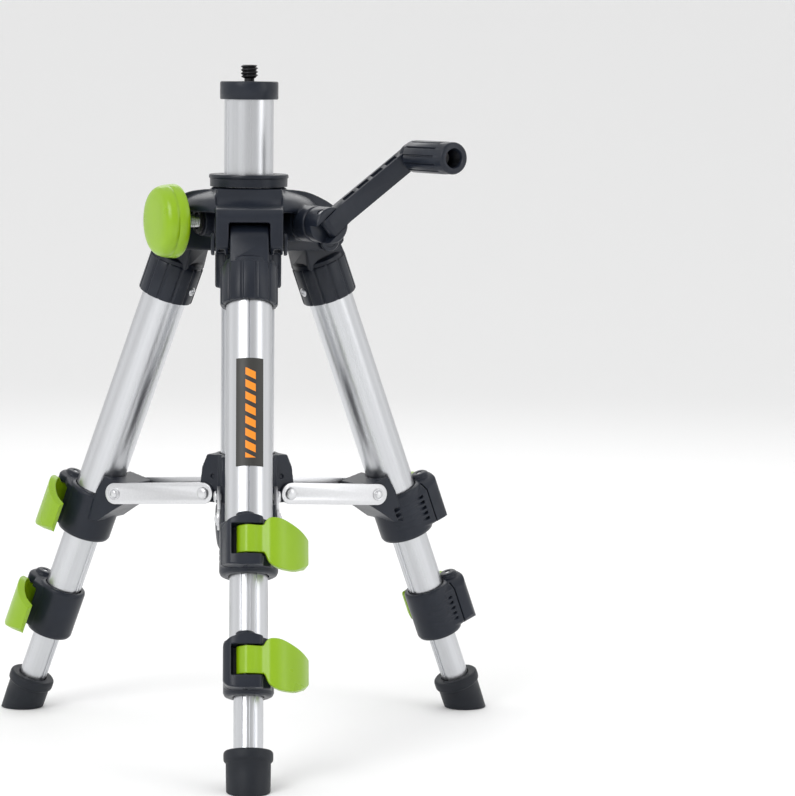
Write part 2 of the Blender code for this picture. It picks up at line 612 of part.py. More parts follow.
def build():
    clear_scene()
    kit = {
        "plastic": make_material("dark plastic", (0.045, 0.051, 0.063), 0.42, 0.0),
        "green": make_material("green plastic", (0.262, 0.545, 0.012), 0.34, 0.0),
        "aluminium": make_material("anodised aluminium", (0.74, 0.745, 0.76), 0.34, 1.0),
        "steel": make_material("bright steel", (0.80, 0.80, 0.81), 0.26, 1.0),
        "black": make_material("black steel", (0.03, 0.03, 0.032), 0.36, 0.6),
        "rubber": make_material("black rubber", (0.022, 0.025, 0.03), 0.62, 0.0),
    }
    tripod = new_frame("tripod", None, shift(0, COLUMN_Y, 0))
    head_body(tripod, kit["plastic"])
    column_collar(tripod, kit["plastic"])
    guide_parts(tripod, kit["plastic"], kit["aluminium"])
    column_tube(tripod, kit["aluminium"])
    column_rack(tripod, kit["black"])
    column_ends(tripod, kit["plastic"], kit["black"])

    crank = new_frame("crank_axis", tripod, pointing(CRANK_TURN, SHAFT_OFFSET, CRANK_Z))
    crank_shaft(crank, kit["plastic"])
    arm = new_frame("arm_axis", crank, spin(ARM_RISE, "Z") @ shift(0, 0, ARM_PIVOT))
    crank_arm(arm, kit["plastic"])
    crank_fittings(crank, arm, kit["plastic"], kit["steel"])
    lock = new_frame("lock_axis", tripod, pointing(LOCK_TURN, 0, LOCK_Z))
    lock_parts(lock, tripod, kit["green"], kit["steel"], kit["plastic"])

    build_spreader(tripod, kit)
    for leg, turn in LEGS.items():
        place = spin(turn, "Z") @ shift(0, -HINGE_R, HINGE_Z) @ spin(-LEG_TILT, "X")
        build_leg(leg, new_frame(f"{leg}_leg_axis", tripod, place), kit)


build()
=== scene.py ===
import json
import math
import bmesh
import bpy
from mathutils import Matrix, Vector


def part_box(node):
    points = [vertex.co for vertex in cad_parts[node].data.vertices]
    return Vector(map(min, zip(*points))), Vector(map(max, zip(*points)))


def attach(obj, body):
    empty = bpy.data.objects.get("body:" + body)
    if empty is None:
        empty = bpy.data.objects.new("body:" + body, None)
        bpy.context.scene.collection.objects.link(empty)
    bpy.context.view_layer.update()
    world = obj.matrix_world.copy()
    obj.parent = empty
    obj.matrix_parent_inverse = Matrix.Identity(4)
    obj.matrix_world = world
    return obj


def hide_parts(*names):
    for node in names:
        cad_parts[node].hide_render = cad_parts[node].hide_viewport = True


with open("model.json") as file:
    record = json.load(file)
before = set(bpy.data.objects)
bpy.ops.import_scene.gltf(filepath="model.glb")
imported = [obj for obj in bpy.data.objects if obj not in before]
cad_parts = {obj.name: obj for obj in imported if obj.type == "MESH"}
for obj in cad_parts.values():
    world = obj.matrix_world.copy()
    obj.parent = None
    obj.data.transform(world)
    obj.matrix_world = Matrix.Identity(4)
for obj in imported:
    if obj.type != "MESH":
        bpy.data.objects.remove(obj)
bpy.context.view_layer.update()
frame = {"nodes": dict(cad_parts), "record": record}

mm = 0.001
legTurns = {"front": 0.0, "right": 120.0, "left": -120.0}
legTilt = 21.5
hinge = {"out": 27.2, "up": 185.0}

low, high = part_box("column_cap")
columnAt = Vector(((low[0] + high[0]) / 2, (low[1] + high[1]) / 2, 0))


# Placing

def shift(x, y, z):
    return Matrix.Translation(Vector((x, y, z)) * mm)


def turn(degrees, axis):
    return Matrix.Rotation(math.radians(degrees), 4, axis)


upright = Matrix(((0, 0, -1, 0), (-1, 0, 0, 0), (0, 1, 0, 0), (0, 0, 0, 1)))  # drawn outwards and up
column = Matrix.Translation(columnAt)


def radial(degrees):
    return turn(degrees, "Z") @ upright


def pointing(degrees, offset, height):
    return turn(degrees, "Z") @ shift(offset, 0, height) @ turn(90, "X")


def legPlace(leg):
    return column @ turn(legTurns[leg], "Z") @ shift(0, -hinge["out"], hinge["up"]) @ turn(-legTilt, "X")


# Making meshes

def around(radius, angle, height):
    return radius * math.cos(angle) * mm, radius * math.sin(angle) * mm, height * mm


def anglesOf(sides):
    return [2 * math.pi * step / sides for step in range(sides)]


def bridge(mesh, ring, following):
    # A band of faces between two rings of the same length.
    sides = len(ring)
    for step in range(sides):
        after = (step + 1) % sides
        mesh.faces.new((ring[step], ring[after], following[after], following[step]))


def newObject(name, mesh):
    bmesh.ops.recalc_face_normals(mesh, faces=mesh.faces)
    data = bpy.data.meshes.new(name)
    mesh.to_mesh(data)
    mesh.free()
    made = bpy.data.objects.new(name, data)
    bpy.context.scene.collection.objects.link(made)
    return made


def lathe(name, profile, sides=96):
    mesh = bmesh.new()
    rings = []
    for radius, height in profile:
        angles = anglesOf(sides) if radius > 0 else [0.0]
        rings.append([mesh.verts.new(around(radius, angle, height)) for angle in angles])
    for ring, following in zip(rings, rings[1:] + rings[:1]):
        for step in range(sides):
            after = (step + 1) % sides
            corners = [ring[step % len(ring)], ring[after % len(ring)]]
            corners += [following[after % len(following)], following[step % len(following)]]
            corners = list(dict.fromkeys(corners))
            if len(corners) > 2:
                mesh.faces.new(corners)
    return newObject(name, mesh)


def rod(name, radius, bottom, top, sides=48):
    return lathe(name, [(0, bottom), (radius, bottom), (radius, top), (0, top)], sides)


def prism(name, outline, bottom, top):
    mesh = bmesh.new()
    face = mesh.faces.new([mesh.verts.new((x * mm, y * mm, bottom * mm)) for x, y in outline])
    made = bmesh.ops.extrude_face_region(mesh, geom=[face])
    raised = [item for item in made["geom"] if isinstance(item, bmesh.types.BMVert)]
    bmesh.ops.translate(mesh, verts=raised, vec=(0, 0, (top - bottom) * mm))
    return newObject(name, mesh)


def block(name, xSpan, ySpan, zSpan):
    outline = [(xSpan[0], ySpan[0]), (xSpan[1], ySpan[0]), (xSpan[1], ySpan[1]), (xSpan[0], ySpan[1])]
    return prism(name, outline, *zSpan)


def arc(centre, radius, start, end, steps):
    angles = [math.radians(start + (end - start) * step / steps) for step in range(steps + 1)]
    return [(centre[0] + radius * math.cos(a), centre[1] + radius * math.sin(a)) for a in angles]


def flowing(points, steps=6):
    # A smooth open line through the points.
    line = []
    for index in range(len(points) - 1):
        before = points[max(index - 1, 0)]
        start, end = points[index], points[index + 1]
        after = points[min(index + 2, len(points) - 1)]
        for step in range(steps):
            t = step / steps
            line.append(tuple(
                0.5 * (2 * b + (c - a) * t + (2 * a - 5 * b + 4 * c - d) * t * t
                       + (3 * b - a - 3 * c + d) * t ** 3)
                for a, b, c, d in zip(before, start, end, after)))
    return line + [points[-1]]


def shell(name, radiusAt, inner, bottom, top, sides):
    # A long ring whose outside follows a pattern round the axis.
    mesh = bmesh.new()
    angles = anglesOf(sides)
    outside = [[mesh.verts.new(around(radiusAt(a), a, z)) for a in angles] for z in (bottom, top)]
    inside = [[mesh.verts.new(around(inner, a, z)) for a in angles] for z in (bottom, top)]
    bridge(mesh, *outside)
    bridge(mesh, *inside)
    bridge(mesh, outside[0], inside[0])
    bridge(mesh, outside[1], inside[1])
    return newObject(name, mesh)


def moved(made, matrix):
    made.data.transform(matrix)
    return made


def combine(made, operation, *tools):
    for tool in tools:
        step = made.modifiers.new("step", "BOOLEAN")
        step.object = tool
        step.operation = operation
        step.solver = "EXACT"
    return bake(made, tools)


def join(made, *tools):
    return combine(made, "UNION", *tools)


def cut(made, *tools):
    return combine(made, "DIFFERENCE", *tools)


def bake(made, used=()):
    graph = bpy.context.evaluated_depsgraph_get()
    baked = bpy.data.meshes.new_from_object(made.evaluated_get(graph))
    made.modifiers.clear()
    made.data = baked
    for tool in used:
        bpy.data.objects.remove(tool)
    return made


def moulded(made, voxel, rounds, keep):
    # Gives a cut-out solid the soft edges of a moulding.
    remesh = made.modifiers.new("remesh", "REMESH")
    remesh.mode = "VOXEL"
    remesh.voxel_size = voxel * mm
    relax = made.modifiers.new("relax", "SMOOTH")
    relax.factor = 0.5
    relax.iterations = rounds
    fewer = made.modifiers.new("fewer", "DECIMATE")
    fewer.ratio = keep
    bake(made)
    made.data.shade_smooth()
    return made


def edged(made, width, segments=3, angle=32):
    bevel = made.modifiers.new("bevel", "BEVEL")
    bevel.width = width * mm
    bevel.segments = segments
    bevel.limit_method = "ANGLE"
    bevel.angle_limit = math.radians(angle)
    return smooth(bake(made), 40)


def smooth(made, angle=38):
    made.data.shade_smooth()
    made.data.set_sharp_from_angle(angle=math.radians(angle))
    return made


def place(made, matrix, body, finish, slot, *nodes):
    made.data = made.data.copy()
    if slot == "aluminium":
        made.matrix_world = matrix  # the drawn lines run along the piece's own axis
    else:
        made.data.transform(matrix)
    made.data.materials.clear()
    made.data.materials.append(finish)
    bpy.context.view_layer.update()
    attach(made, body)
    if nodes:
        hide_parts(*nodes)
    return made


def perLegNames(made, title):
    # One object for each leg, all sharing the drawn mesh.
    made.name = f"front_{title}"
    pieces = {"front": made}
    for leg in ("right", "left"):
        pieces[leg] = bpy.data.objects.new(f"{leg}_{title}", made.data)
        bpy.context.scene.collection.objects.link(pieces[leg])
    return pieces


def perLeg(made, title, body, finish, slot, node=None):
    # Places one drawn piece on all three legs.
    for leg, piece in perLegNames(made, title).items():
        nodes = [f"{leg}_{node}"] if node else []
        place(piece, legPlace(leg), f"{leg}_{body}", finish, slot, *nodes)


# Materials

def newGroup(name, inputs, outputs):
    group = bpy.data.node_groups.new(name, "ShaderNodeTree")
    for title, kind, value in inputs:
        socket = group.interface.new_socket(title, in_out="INPUT", socket_type=kind)
        socket.default_value = value
    for title, kind in outputs:
        group.interface.new_socket(title, in_out="OUTPUT", socket_type=kind)
    return group, group.nodes.new("NodeGroupInput"), group.nodes.new("NodeGroupOutput")


def mouldGrain():
    # Fine spark texture of moulded plastic, with broader drift in shade.
    group, start, end = newGroup(
        "mould grain",
        [("Grain Scale", "NodeSocketFloat", 2600.0), ("Drift Scale", "NodeSocketFloat", 60.0)],
        [("Height", "NodeSocketFloat"), ("Drift", "NodeSocketFloat")])
    spot = group.nodes.new("ShaderNodeTexCoord")
    fine = group.nodes.new("ShaderNodeTexNoise")
    fine.inputs["Detail"].default_value = 3.0
    broad = group.nodes.new("ShaderNodeTexNoise")
    broad.inputs["Detail"].default_value = 4.0
    link = group.links.new
    link(spot.outputs["Object"], fine.inputs["Vector"])
    link(spot.outputs["Object"], broad.inputs["Vector"])
    link(start.outputs["Grain Scale"], fine.inputs["Scale"])
    link(start.outputs["Drift Scale"], broad.inputs["Scale"])
    link(fine.outputs["Fac"], end.inputs["Height"])
    link(broad.outputs["Fac"], end.inputs["Drift"])
    return group


def drawnMetal():
    # Faint lines along a drawn tube or a rolled bar.
    group, start, end = newGroup(
        "drawn metal", [("Across", "NodeSocketFloat", 900.0), ("Along", "NodeSocketFloat", 12.0)],
        [("Height", "NodeSocketFloat"), ("Streak", "NodeSocketFloat")])
    spot = group.nodes.new("ShaderNodeTexCoord")
    scale = group.nodes.new("ShaderNodeCombineXYZ")
    stretch = group.nodes.new("ShaderNodeVectorMath")
    stretch.operation = "MULTIPLY"
    fine = group.nodes.new("ShaderNodeTexNoise")
    fine.inputs["Scale"].default_value = 1.0
    fine.inputs["Detail"].default_value = 4.0
    soft = group.nodes.new("ShaderNodeTexNoise")
    soft.inputs["Scale"].default_value = 0.25
    link = group.links.new
    link(start.outputs["Across"], scale.inputs["X"])
    link(start.outputs["Across"], scale.inputs["Y"])
    link(start.outputs["Along"], scale.inputs["Z"])
    link(spot.outputs["Object"], stretch.inputs[0])
    link(scale.outputs["Vector"], stretch.inputs[1])
    link(stretch.outputs["Vector"], fine.inputs["Vector"])
    link(stretch.outputs["Vector"], soft.inputs["Vector"])
    link(fine.outputs["Fac"], end.inputs["Height"])
    link(soft.outputs["Fac"], end.inputs["Streak"])
    return group


grainGroup = mouldGrain()
drawnGroup = drawnMetal()


def ranged(tree, source, bottom, top):
    node = tree.nodes.new("ShaderNodeMapRange")
    node.inputs["From Min"].default_value = 0.3
    node.inputs["From Max"].default_value = 0.7
    node.inputs["To Min"].default_value = bottom
    node.inputs["To Max"].default_value = top
    tree.links.new(source, node.inputs["Value"])
    return node.outputs["Result"]


def shaded(tree, source, dark, light):
    node = tree.nodes.new("ShaderNodeMix")
    node.data_type = "RGBA"
    node.inputs["A"].default_value = (*dark, 1)
    node.inputs["B"].default_value = (*light, 1)
    tree.links.new(ranged(tree, source, 0.0, 1.0), node.inputs["Factor"])
    return node.outputs["Result"]


def newMaterial(name, values):
    made = bpy.data.materials.new(name)
    made.use_nodes = True
    tree = made.node_tree
    shader = tree.nodes["Principled BSDF"]
    shader.inputs["Metallic"].default_value = values.get("metallic", 0.0)
    shader.inputs["Specular IOR Level"].default_value = values.get("specular", 0.5)
    return made, tree, shader


def finished(parts, colourFrom, roughnessFrom, heightFrom, depth, values):
    # Feeds one effect into the colour, the roughness and the bump of a finish.
    made, tree, shader = parts
    colour = shaded(tree, colourFrom, values["dark"], values["light"])
    tree.links.new(colour, shader.inputs["Base Color"])
    tree.links.new(ranged(tree, roughnessFrom, *values["roughness"]), shader.inputs["Roughness"])
    bump = tree.nodes.new("ShaderNodeBump")
    bump.inputs["Strength"].default_value = values["bump"]
    bump.inputs["Distance"].default_value = depth
    tree.links.new(heightFrom, bump.inputs["Height"])
    tree.links.new(bump.outputs["Normal"], shader.inputs["Normal"])
    return made


def mouldedFinish(name, values):
    parts = newMaterial(name, values)
    grain = parts[1].nodes.new("ShaderNodeGroup")
    grain.node_tree = grainGroup
    grain.inputs["Grain Scale"].default_value = values["grain"]
    grain.inputs["Drift Scale"].default_value = values["drift"]
    drift = grain.outputs["Drift"]
    return finished(parts, drift, drift, grain.outputs["Height"], 0.00008, values)


def metalFinish(name, values):
    parts = newMaterial(name, values)
    lines = parts[1].nodes.new("ShaderNodeGroup")
    lines.node_tree = drawnGroup
    lines.inputs["Across"].default_value = values["across"]
    lines.inputs["Along"].default_value = values["along"]
    height = lines.outputs["Height"]
    return finished(parts, lines.outputs["Streak"], height, height, 0.00003, values)


darkPlastic = mouldedFinish("dark moulded plastic", {
    "dark": (0.009, 0.012, 0.020), "light": (0.014, 0.018, 0.028), "roughness": (0.30, 0.38),
    "grain": 2400.0, "drift": 70.0, "bump": 0.35, "specular": 0.32})
greenPlastic = mouldedFinish("green plastic", {
    "dark": (0.235, 0.410, 0.001), "light": (0.262, 0.450, 0.002), "roughness": (0.26, 0.33),
    "grain": 3000.0, "drift": 50.0, "bump": 0.12, "specular": 0.5})
blackRubber = mouldedFinish("black rubber", {
    "dark": (0.008, 0.010, 0.015), "light": (0.013, 0.016, 0.022), "roughness": (0.46, 0.56),
    "grain": 1800.0, "drift": 90.0, "bump": 0.5, "specular": 0.3})
aluminium = metalFinish("anodised aluminium", {
    "dark": (0.585, 0.595, 0.615), "light": (0.625, 0.635, 0.655), "roughness": (0.27, 0.31),
    "across": 3400.0, "along": 10.0, "bump": 0.06, "metallic": 1.0})
brightSteel = metalFinish("bright flat bar", {
    "dark": (0.66, 0.665, 0.68), "light": (0.70, 0.705, 0.72), "roughness": (0.30, 0.34),
    "across": 5200.0, "along": 5200.0, "bump": 0.05, "metallic": 1.0})
blackSteel = metalFinish("blackened steel", {
    "dark": (0.022, 0.022, 0.024), "light": (0.040, 0.040, 0.044), "roughness": (0.28, 0.40),
    "across": 1500.0, "along": 1500.0, "bump": 0.2, "metallic": 0.7})
print("materials made")


# Column, cap and stud

columnPiece = {
    "radius": 9.1, "wall": 1.0, "bottom": 104.7, "top": 236.9,
    "slot": 2.6, "slotTurn": 30.0, "grooves": (-148.0, -160.0, 100.0)}


def columnTube(values):
    half = math.degrees(math.asin(values["slot"] / values["radius"]))
    outline = []
    steps = 170
    start, end = values["slotTurn"] + half, values["slotTurn"] + 360 - half
    for step in range(steps + 1):
        angle = start + (end - start) * step / steps
        nearest = min(abs((angle - groove + 180) % 360 - 180) for groove in values["grooves"])
        radius = values["radius"] - (0.28 if nearest < 2.2 else 0.0)
        heading = math.radians(angle)
        outline.append((radius * math.cos(heading), radius * math.sin(heading)))
    outline += arc((0, 0), values["radius"] - values["wall"], end - 2, start + 2, 90)
    return smooth(prism("column_tube_fine", outline, values["bottom"], values["top"]), 25)


place(columnTube(columnPiece), column, "column", aluminium, "aluminium", "column_tube")

capProfile = [(3.4, 236.9), (10.5, 236.9), (10.75, 237.15), (10.75, 242.9)]
capProfile += [(10.65, 243.25), (10.3, 243.5), (3.4, 243.5)]
cap = smooth(lathe("column_cap_fine", capProfile), 50)
place(cap, column, "column", darkPlastic, "dark_plastic", "column_cap")

stud = {
    "radius": 3.15, "root": 2.45, "pitch": 1.27, "bottom": 244.9, "top": 249.55,
    "neck": 1.85, "neckFrom": 239.0}


def threadedStud(values):
    mesh = bmesh.new()
    sides, perTurn = 72, 10
    low, high, root = values["bottom"], values["top"], values["root"]
    rows = int((high - low) / values["pitch"] * perTurn)
    rings = []
    for row in range(rows + 1):
        z = low + (high - low) * row / rows
        fade = min(1.0, (high - z) / 0.5 + 0.35, (z - low) / 0.5 + 0.2)
        ring = []
        for step, angle in enumerate(anglesOf(sides)):
            phase = ((z / values["pitch"]) - step / sides) % 1.0
            crest = 1 - abs(2 * phase - 1)
            radius = root + (values["radius"] - root) * min(1.0, crest * 1.25) * fade
            ring.append(mesh.verts.new(around(radius, angle, z)))
        rings.append(ring)
    for z in (low - 0.35, values["neckFrom"]):
        rings.insert(0, [mesh.verts.new(around(values["neck"], a, z)) for a in anglesOf(sides)])
    for ring, following in zip(rings, rings[1:]):
        bridge(mesh, ring, following)
    mesh.faces.new(rings[0])
    mesh.faces.new(rings[-1])
    return smooth(newObject("mount_stud_fine", mesh), 60)


place(threadedStud(stud), column, "column", blackSteel, "black_steel", "mount_screw")
print("column made")


# Head

head = {"low": 181.2, "top": 204.6, "armHalf": 12.15, "voxel": 0.32, "relax": 5, "keep": 0.45}
crank = {
    "turn": 30.0, "offset": 12.0, "up": 192.0, "rise": 39.5, "pivot": 37.5, "reach": 39.3,
    "gripFrom": 47.5, "gripTo": 72.5}
knob = {"turn": -66.0, "up": 192.5, "inner": 28.85, "outer": 38.35, "radius": 13.55}
crankAxis = pointing(crank["turn"], crank["offset"], crank["up"])
lockAxis = pointing(knob["turn"], 0, knob["up"])


def headBody(values):
    base, low, top, half = values["low"], values["low"] + 0.2, values["top"], values["armHalf"]
    hub = lathe("head_body_fine", [(0, base), (14.2, base), (14.2, 203.9), (13.4, top), (0, top)])
    roof = flowing([(0.0, 203.8), (13.0, 203.6), (18.0, 202.6), (22.0, 200.9),
                    (24.6, 198.6), (25.2, 196.9), (24.6, 196.1), (21, 195.9)])
    join(hub, lathe("roof", [(0, 196.0)] + roof[::-1]))
    hollow = flowing([(34.0, 196.4), (32.6, 197.9), (29.5, 198.2), (24, 198.3),
                      (19.5, 198.9), (16.6, 200.5), (15.0, 202.6), (14.2, 204.3)])
    front = [(4, low), (31.5, low), (34.2, 184.2), (34.2, 195.2)] + hollow + [(4, 204.3)]
    rear = [(4, low), (31.5, low), (34.2, 184.6)]
    rear += flowing([(34.2, 190.5), (33.6, 193.6), (31.6, 196.2), (28.4, 198.6),
                     (23.6, 201.0), (18, 203.0), (12, 203.9)])
    rear += [(4, 203.9)]
    for leg, degrees in legTurns.items():
        arm = prism("arm", front if leg == "front" else rear, -half, half)
        join(hub, moved(arm, radial(degrees)))
    cove = hollow + [(14.2, 207), (36, 207), (36, 196.4)]
    cut(hub, moved(prism("cove", cove, -half - 0.01, half + 0.01), radial(0)))
    barrel = lathe("barrel", [(0, 2), (6.7, 2), (6.7, 20.6), (6.25, 21.0), (6.25, 22.0),
                              (6.7, 22.4), (6.7, 29.1), (6.2, 29.6), (0, 29.6)])
    boss = rod("boss", 5.6, 8, 19.6)
    join(hub, moved(barrel, crankAxis))
    join(hub, moved(boss, lockAxis))
    tools = [rod("bore", 9.5, 180, 206, 96), rod("seat", 10.25, 179, 184.9, 96)]
    for degrees in legTurns.values():
        tools.append(moved(block("slot", (18.9, 45), (175, 193.1), (-7.4, 7.4)), radial(degrees)))
        for across in ((-11.3, -8.9), (8.9, 11.3)):
            tools.append(moved(block("pocket", (20.5, 40), (174, 183.4), across), radial(degrees)))
    tools.append(moved(rod("shaft_bore", 3.4, -8.4, 35), crankAxis))
    tools.append(moved(rod("pinion_pocket", 5.2, -2.6, 2.6), crankAxis))
    tools.append(moved(rod("lock_bore", 3.0, 5, 25), lockAxis))
    cut(hub, *tools)
    return moulded(hub, values["voxel"], values["relax"], values["keep"])


place(headBody(head), column, "head", darkPlastic, "dark_plastic", "head_body")

collarProfile = [(9.5, 204.9), (14.3, 204.9), (14.35, 207.9), (14.6, 208.0), (14.7, 208.2), (14.7, 208.9),
                 (14.5, 209.35), (14.0, 209.5), (10.6, 209.5), (9.8, 209.2), (9.5, 208.6)]
collar = smooth(lathe("column_collar_fine", collarProfile), 45)
place(collar, column, "head", darkPlastic, "dark_plastic", "column_collar")


def fluted(name, outer, inner, depth, lobes, bottom, top, soft=0.8):
    # A ribbed ring with softened ends.
    def radiusAt(angle, shrink):
        along = (angle / (2 * math.pi) * lobes) % 1.0
        dip = max(0.0, 1 - abs(along - 0.5) / 0.13)
        return outer - shrink - depth * min(1.0, dip * 1.8)
    mesh = bmesh.new()
    angles = anglesOf(lobes * 24)
    levels = [(bottom, soft), (bottom + soft * 0.3, soft * 0.3), (bottom + soft, 0.0)]
    levels += [(top - soft, 0.0), (top - soft * 0.3, soft * 0.3), (top, soft)]
    rings = [[mesh.verts.new(around(radiusAt(a, shrink), a, z)) for a in angles] for z, shrink in levels]
    rings += [[mesh.verts.new(around(inner, a, z)) for a in angles] for z in (top, bottom)]
    for ring, following in zip(rings, rings[1:] + rings[:1]):
        bridge(mesh, ring, following)
    return smooth(newObject(name, mesh), 50)


socket = fluted("guide_socket_fine", 12.25, 10.3, 0.4, 12, 167.4, 180.9)
place(socket, column, "head", darkPlastic, "dark_plastic", "guide_socket")
guide = lathe("guide_tube_fine", [(9.4, 73.2), (9.9, 73.2), (9.9, 184.2), (9.4, 184.2)])
place(smooth(guide), column, "head", aluminium, "aluminium", "guide_tube")
stopLine = flowing([(10.4, 70.1), (11.1, 72), (11.7, 77), (11.8, 82), (11.6, 85.6), (11.0, 86.9)])
stopLine = [(0, 70.0), (9.8, 70.0)] + stopLine + [(10.3, 86.9), (10.3, 72.8), (0, 72.8)]
stop = smooth(lathe("end_stop_fine", stopLine), 45)
place(stop, column, "head", darkPlastic, "dark_plastic", "end_stop")
print("head made")


# Crank and lock

shaftPlace = column @ crankAxis
armRise = turn(crank["rise"], "Z")
armPin = armRise @ shift(0, 0, crank["pivot"]) @ turn(90, "X")
armPlace = shaftPlace @ armRise @ shift(0, 0, crank["pivot"])

fork = lathe("crank_fork_fine", [(0, -2.2), (3.0, -2.2), (3.0, 30.0), (6.0, 30.0),
                                 (6.6, 30.6), (6.6, 39.1), (6.1, 39.6), (0, 39.6)])
armSlot = block("arm_slot", (-12, 12), (-4.0, 4.0), (34.8, 43))
cut(fork, moved(armSlot, armRise), moved(rod("pin_bore", 1.3, -9, 9), armPin))
place(edged(fork, 0.25, 2), shaftPlace, "crank", darkPlastic, "dark_plastic", "crank_shaft")
pinLine = [(0, -6.2), (1.0, -6.2), (1.2, -6.0), (1.2, 6.0), (1.0, 6.2), (0, 6.2)]
pinFine = smooth(lathe("crank_pin_fine", pinLine, 32))
place(pinFine, shaftPlace @ armPin, "crank", brightSteel, "bright_steel", "crank_arm_pin")


def crankArm(values):
    cant = 12
    slope = math.tan(math.radians(cant))
    tip = values["gripFrom"] - values["pivot"] - 0.7
    reach = values["reach"]
    outline = arc((0, 0), 2.4, 90, 270, 16)
    outline += [(7.4, -2.4), (reach - 1.3, (reach - 8.7) * slope - 2.4), (reach + 3.2, tip - 4.6)]
    outline += [(reach + 4.4, tip - 3.2), (reach + 4.4, tip - 0.5), (reach + 4.0, tip)]
    outline += [(6.6 + (tip - 2.4) / slope, tip), (6.6, 2.4)]
    arm = moved(prism("crank_arm_fine", outline, -3.7, 3.7), turn(90, "X"))
    tools = []
    for index in range(4):
        middle = 12.4 + index * 6.6
        for side in (-1, 1):
            pocket = block("pocket", (-2.5, 2.5), (-1.4, 1.4), (0, 2))
            onArm = shift(middle, 0, (middle - 7) * slope) @ turn(-cant, "Y")
            tools.append(moved(pocket, onArm @ turn(-90 * side, "X") @ shift(0, 0, 2.9)))
    cut(arm, *tools)
    neck = lathe("neck", [(0, tip - 3), (4.8, tip - 3), (4.5, tip + 0.4),
                          (2.3, tip + 0.4), (2.3, tip + 15.6), (0, tip + 15.6)])
    join(arm, moved(neck, shift(reach, 0, 0)))
    return edged(arm, 0.3, 2)


place(crankArm(crank), armPlace, "crank_arm", darkPlastic, "dark_plastic", "crank_arm")
gripLow, gripHigh = crank["gripFrom"] - crank["pivot"], crank["gripTo"] - crank["pivot"]
gripPlace = armPlace @ shift(crank["reach"], 0, 0)
retainerLine = [(0, 15.3), (3.4, 15.3), (3.4, 16.6), (3.0, 17.0), (0, 17.0)]
retainer = smooth(lathe("grip_retainer_fine", [(radius, gripLow + up) for radius, up in retainerLine]))
place(retainer, gripPlace, "crank_arm", brightSteel, "bright_steel", "grip_retainer")


def crankGrip(bottom, top):
    grip = fluted("crank_grip_fine", 5.9, 2.7, 0.55, 12, bottom, top - 4.6, 0.6)
    rim = lathe("rim", [(2.7, top - 5.4), (5.75, top - 5.4), (5.8, top - 0.9), (5.6, top - 0.3),
                        (5.1, top), (3.7, top), (3.4, top - 0.3), (3.4, top - 1.6),
                        (4.2, top - 1.8), (4.2, top - 10), (2.7, top - 10)])
    join(grip, rim)
    mouth = lathe("mouth", [(0, bottom + 14.6), (4.2, bottom + 14.6), (4.2, top - 1.8),
                            (3.4, top - 1.6), (3.4, top + 1), (0, top + 1)])
    return smooth(cut(grip, mouth), 45)


place(crankGrip(gripLow, gripHigh), gripPlace, "grip", darkPlastic, "dark_plastic", "crank_grip")

lockPlace = column @ lockAxis


def lockKnob(values):
    inner, outer, radius = values["inner"], values["outer"], values["radius"]
    core = [(2.8, inner), (4.6, inner), (4.6, inner + 2.2), (radius - 3.6, inner + 2.2), (radius - 3.6, inner)]
    back = flowing([(radius - 1.1, inner), (radius - 0.4, inner + 0.2),
                    (radius - 0.05, inner + 0.8), (radius, inner + 1.6)])
    line = [(radius - 0.2, inner + 4.0), (radius - 0.36, inner + 4.15),
            (radius - 0.36, inner + 4.35), (radius - 0.24, inner + 4.5)]
    face = flowing([(radius - 0.45, inner + 5.6), (radius - 1.1, outer - 2.2), (radius - 2.4, outer - 0.9),
                    (radius - 4.8, outer - 0.25), (radius - 8, outer)])
    bore = [(0, outer), (0, outer - 3.6), (2.8, outer - 3.6)]
    return smooth(lathe("lock_knob_fine", core + back + line + face + bore, 128), 50)


place(lockKnob(knob), lockPlace, "lock", greenPlastic, "green_plastic", "lock_knob")
bolt = {"crest": 2.45, "root": 2.1, "from": 12.0, "to": 34.7, "halfPitch": 0.36, "threads": 63}
ridges = [(bolt["crest"] if row % 2 else bolt["root"], bolt["from"] + row * bolt["halfPitch"])
          for row in range(bolt["threads"])]
boltFine = lathe("lock_bolt_fine", [(0, bolt["from"])] + ridges + [(2.3, bolt["to"]), (0, bolt["to"])], 48)
place(smooth(boltFine, 60), lockPlace, "lock", brightSteel, "bright_steel", "lock_bolt")
washer = lathe("lock_washer", [(3.1, 19.7), (4.6, 19.7), (4.8, 19.9), (4.8, 20.7), (4.5, 20.9), (3.1, 20.9)])
place(smooth(washer), lockPlace, "head", blackSteel, "black_steel")
print("crank and lock made")


# Legs

tubes = {
    "upper_tube": {"radius": 8.4, "span": (9.9, 113.0), "body": "leg", "band": 0.0},
    "middle_tube": {"radius": 6.8, "span": (34.0, 155.4), "body": "middle", "band": 23.5},
    "lower_tube": {"radius": 5.2, "span": (60.0, 190.0), "body": "lower", "band": 26.0}}


def ribbed(values):
    # Drawn tube with a ribbed channel along its outer and inner lines.
    def radiusAt(angle):
        degrees = math.degrees(angle) % 180 - 90
        if abs(degrees) > values["band"]:
            return values["radius"]
        on = 4.0 < abs(degrees) < 11.0
        return values["radius"] - (0.05 if on else 0.48)
    return radiusAt


for title, values in tubes.items():
    start, end = values["span"]
    tube = shell(f"{title}_fine", ribbed(values), values["radius"] - 0.9, -end, -start, 240)
    perLeg(smooth(tube, 12), f"{title}_fine", values["body"], aluminium, "aluminium", title)

sleeve = {"outer": 10.4, "low": 23.4, "top": 7.0}


